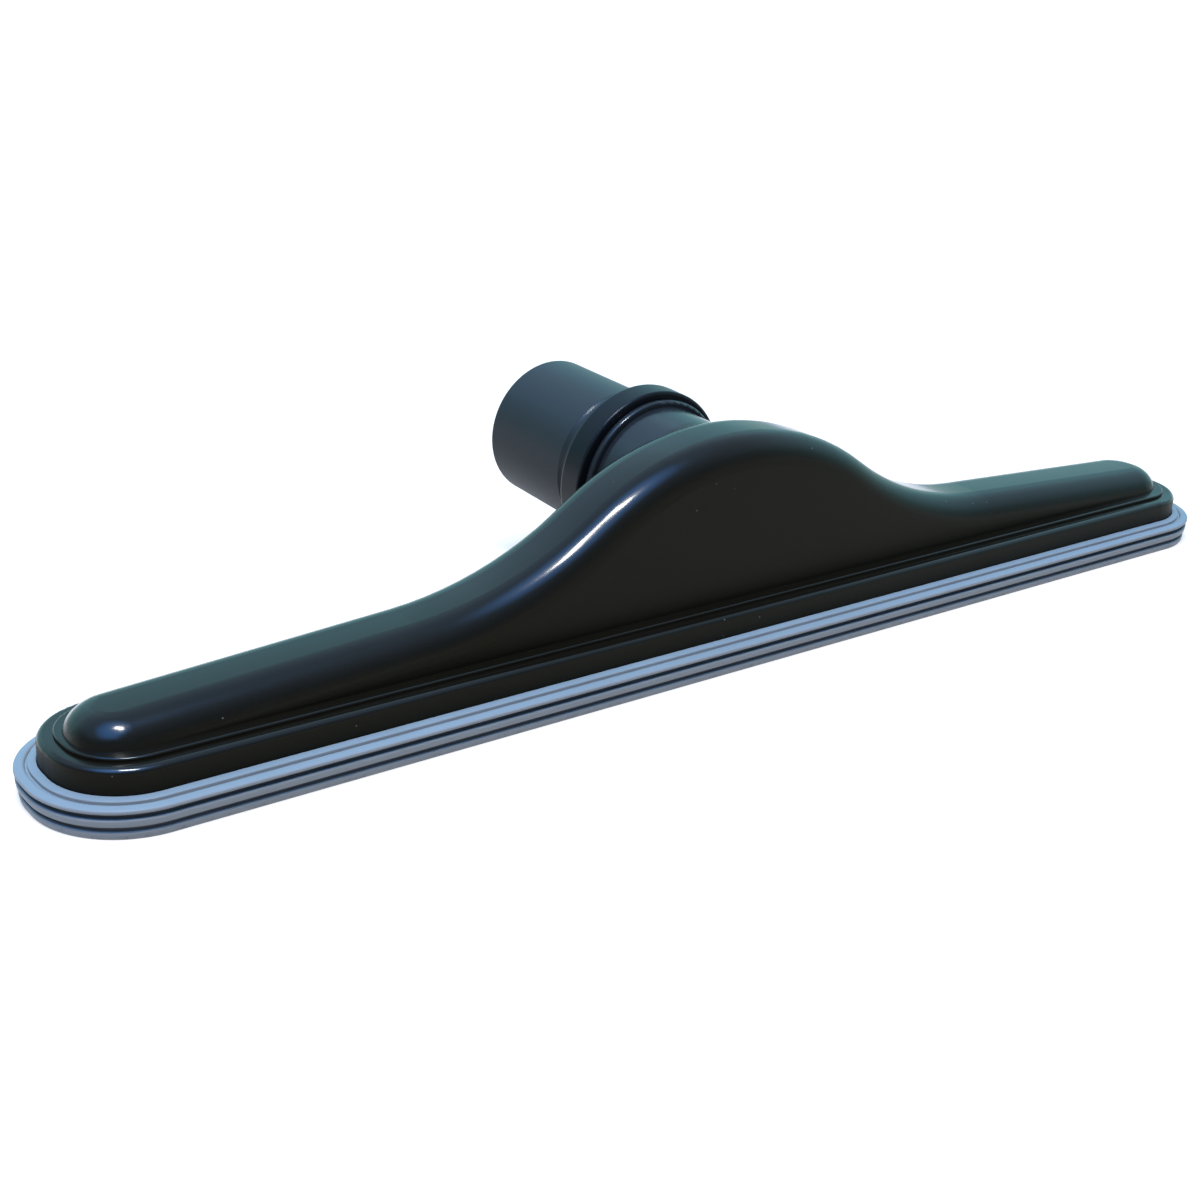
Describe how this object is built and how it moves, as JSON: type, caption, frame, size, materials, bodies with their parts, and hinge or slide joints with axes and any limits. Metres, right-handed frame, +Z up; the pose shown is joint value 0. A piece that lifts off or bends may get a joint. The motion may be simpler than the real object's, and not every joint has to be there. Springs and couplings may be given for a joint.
{
  "type": "vacuum gulper floor tool",
  "caption": "Long low vacuum floor head with a bell-shaped hump, a ribbed grey bumper round its open mouth and a swivel wand cuff on a near-level neck at the back.",
  "frame": {"origin": "on the floor under the middle of the whole tool", "axes": "+X along the tool, +Y from its front towards the wand, +Z up from the floor"},
  "size_m": [0.4172, 0.1137, 0.0667],
  "materials": {
    "body": "gloss black moulding",
    "bumper": "satin grey vinyl",
    "cuff": "satin black moulding"
  },
  "bodies": {
    "base": {"body_shell": "body", "bumper": "bumper"},
    "cuff": {"swivel_cuff": "cuff"}
  },
  "joints": [
    {"name": "cuff_swivel", "type": "hinge", "parent": "base", "child": "cuff", "pos_m": [0, 0.0064, 0.03929], "axis": [0, 0.9987, 0.0506], "continuous": true}
  ]
}
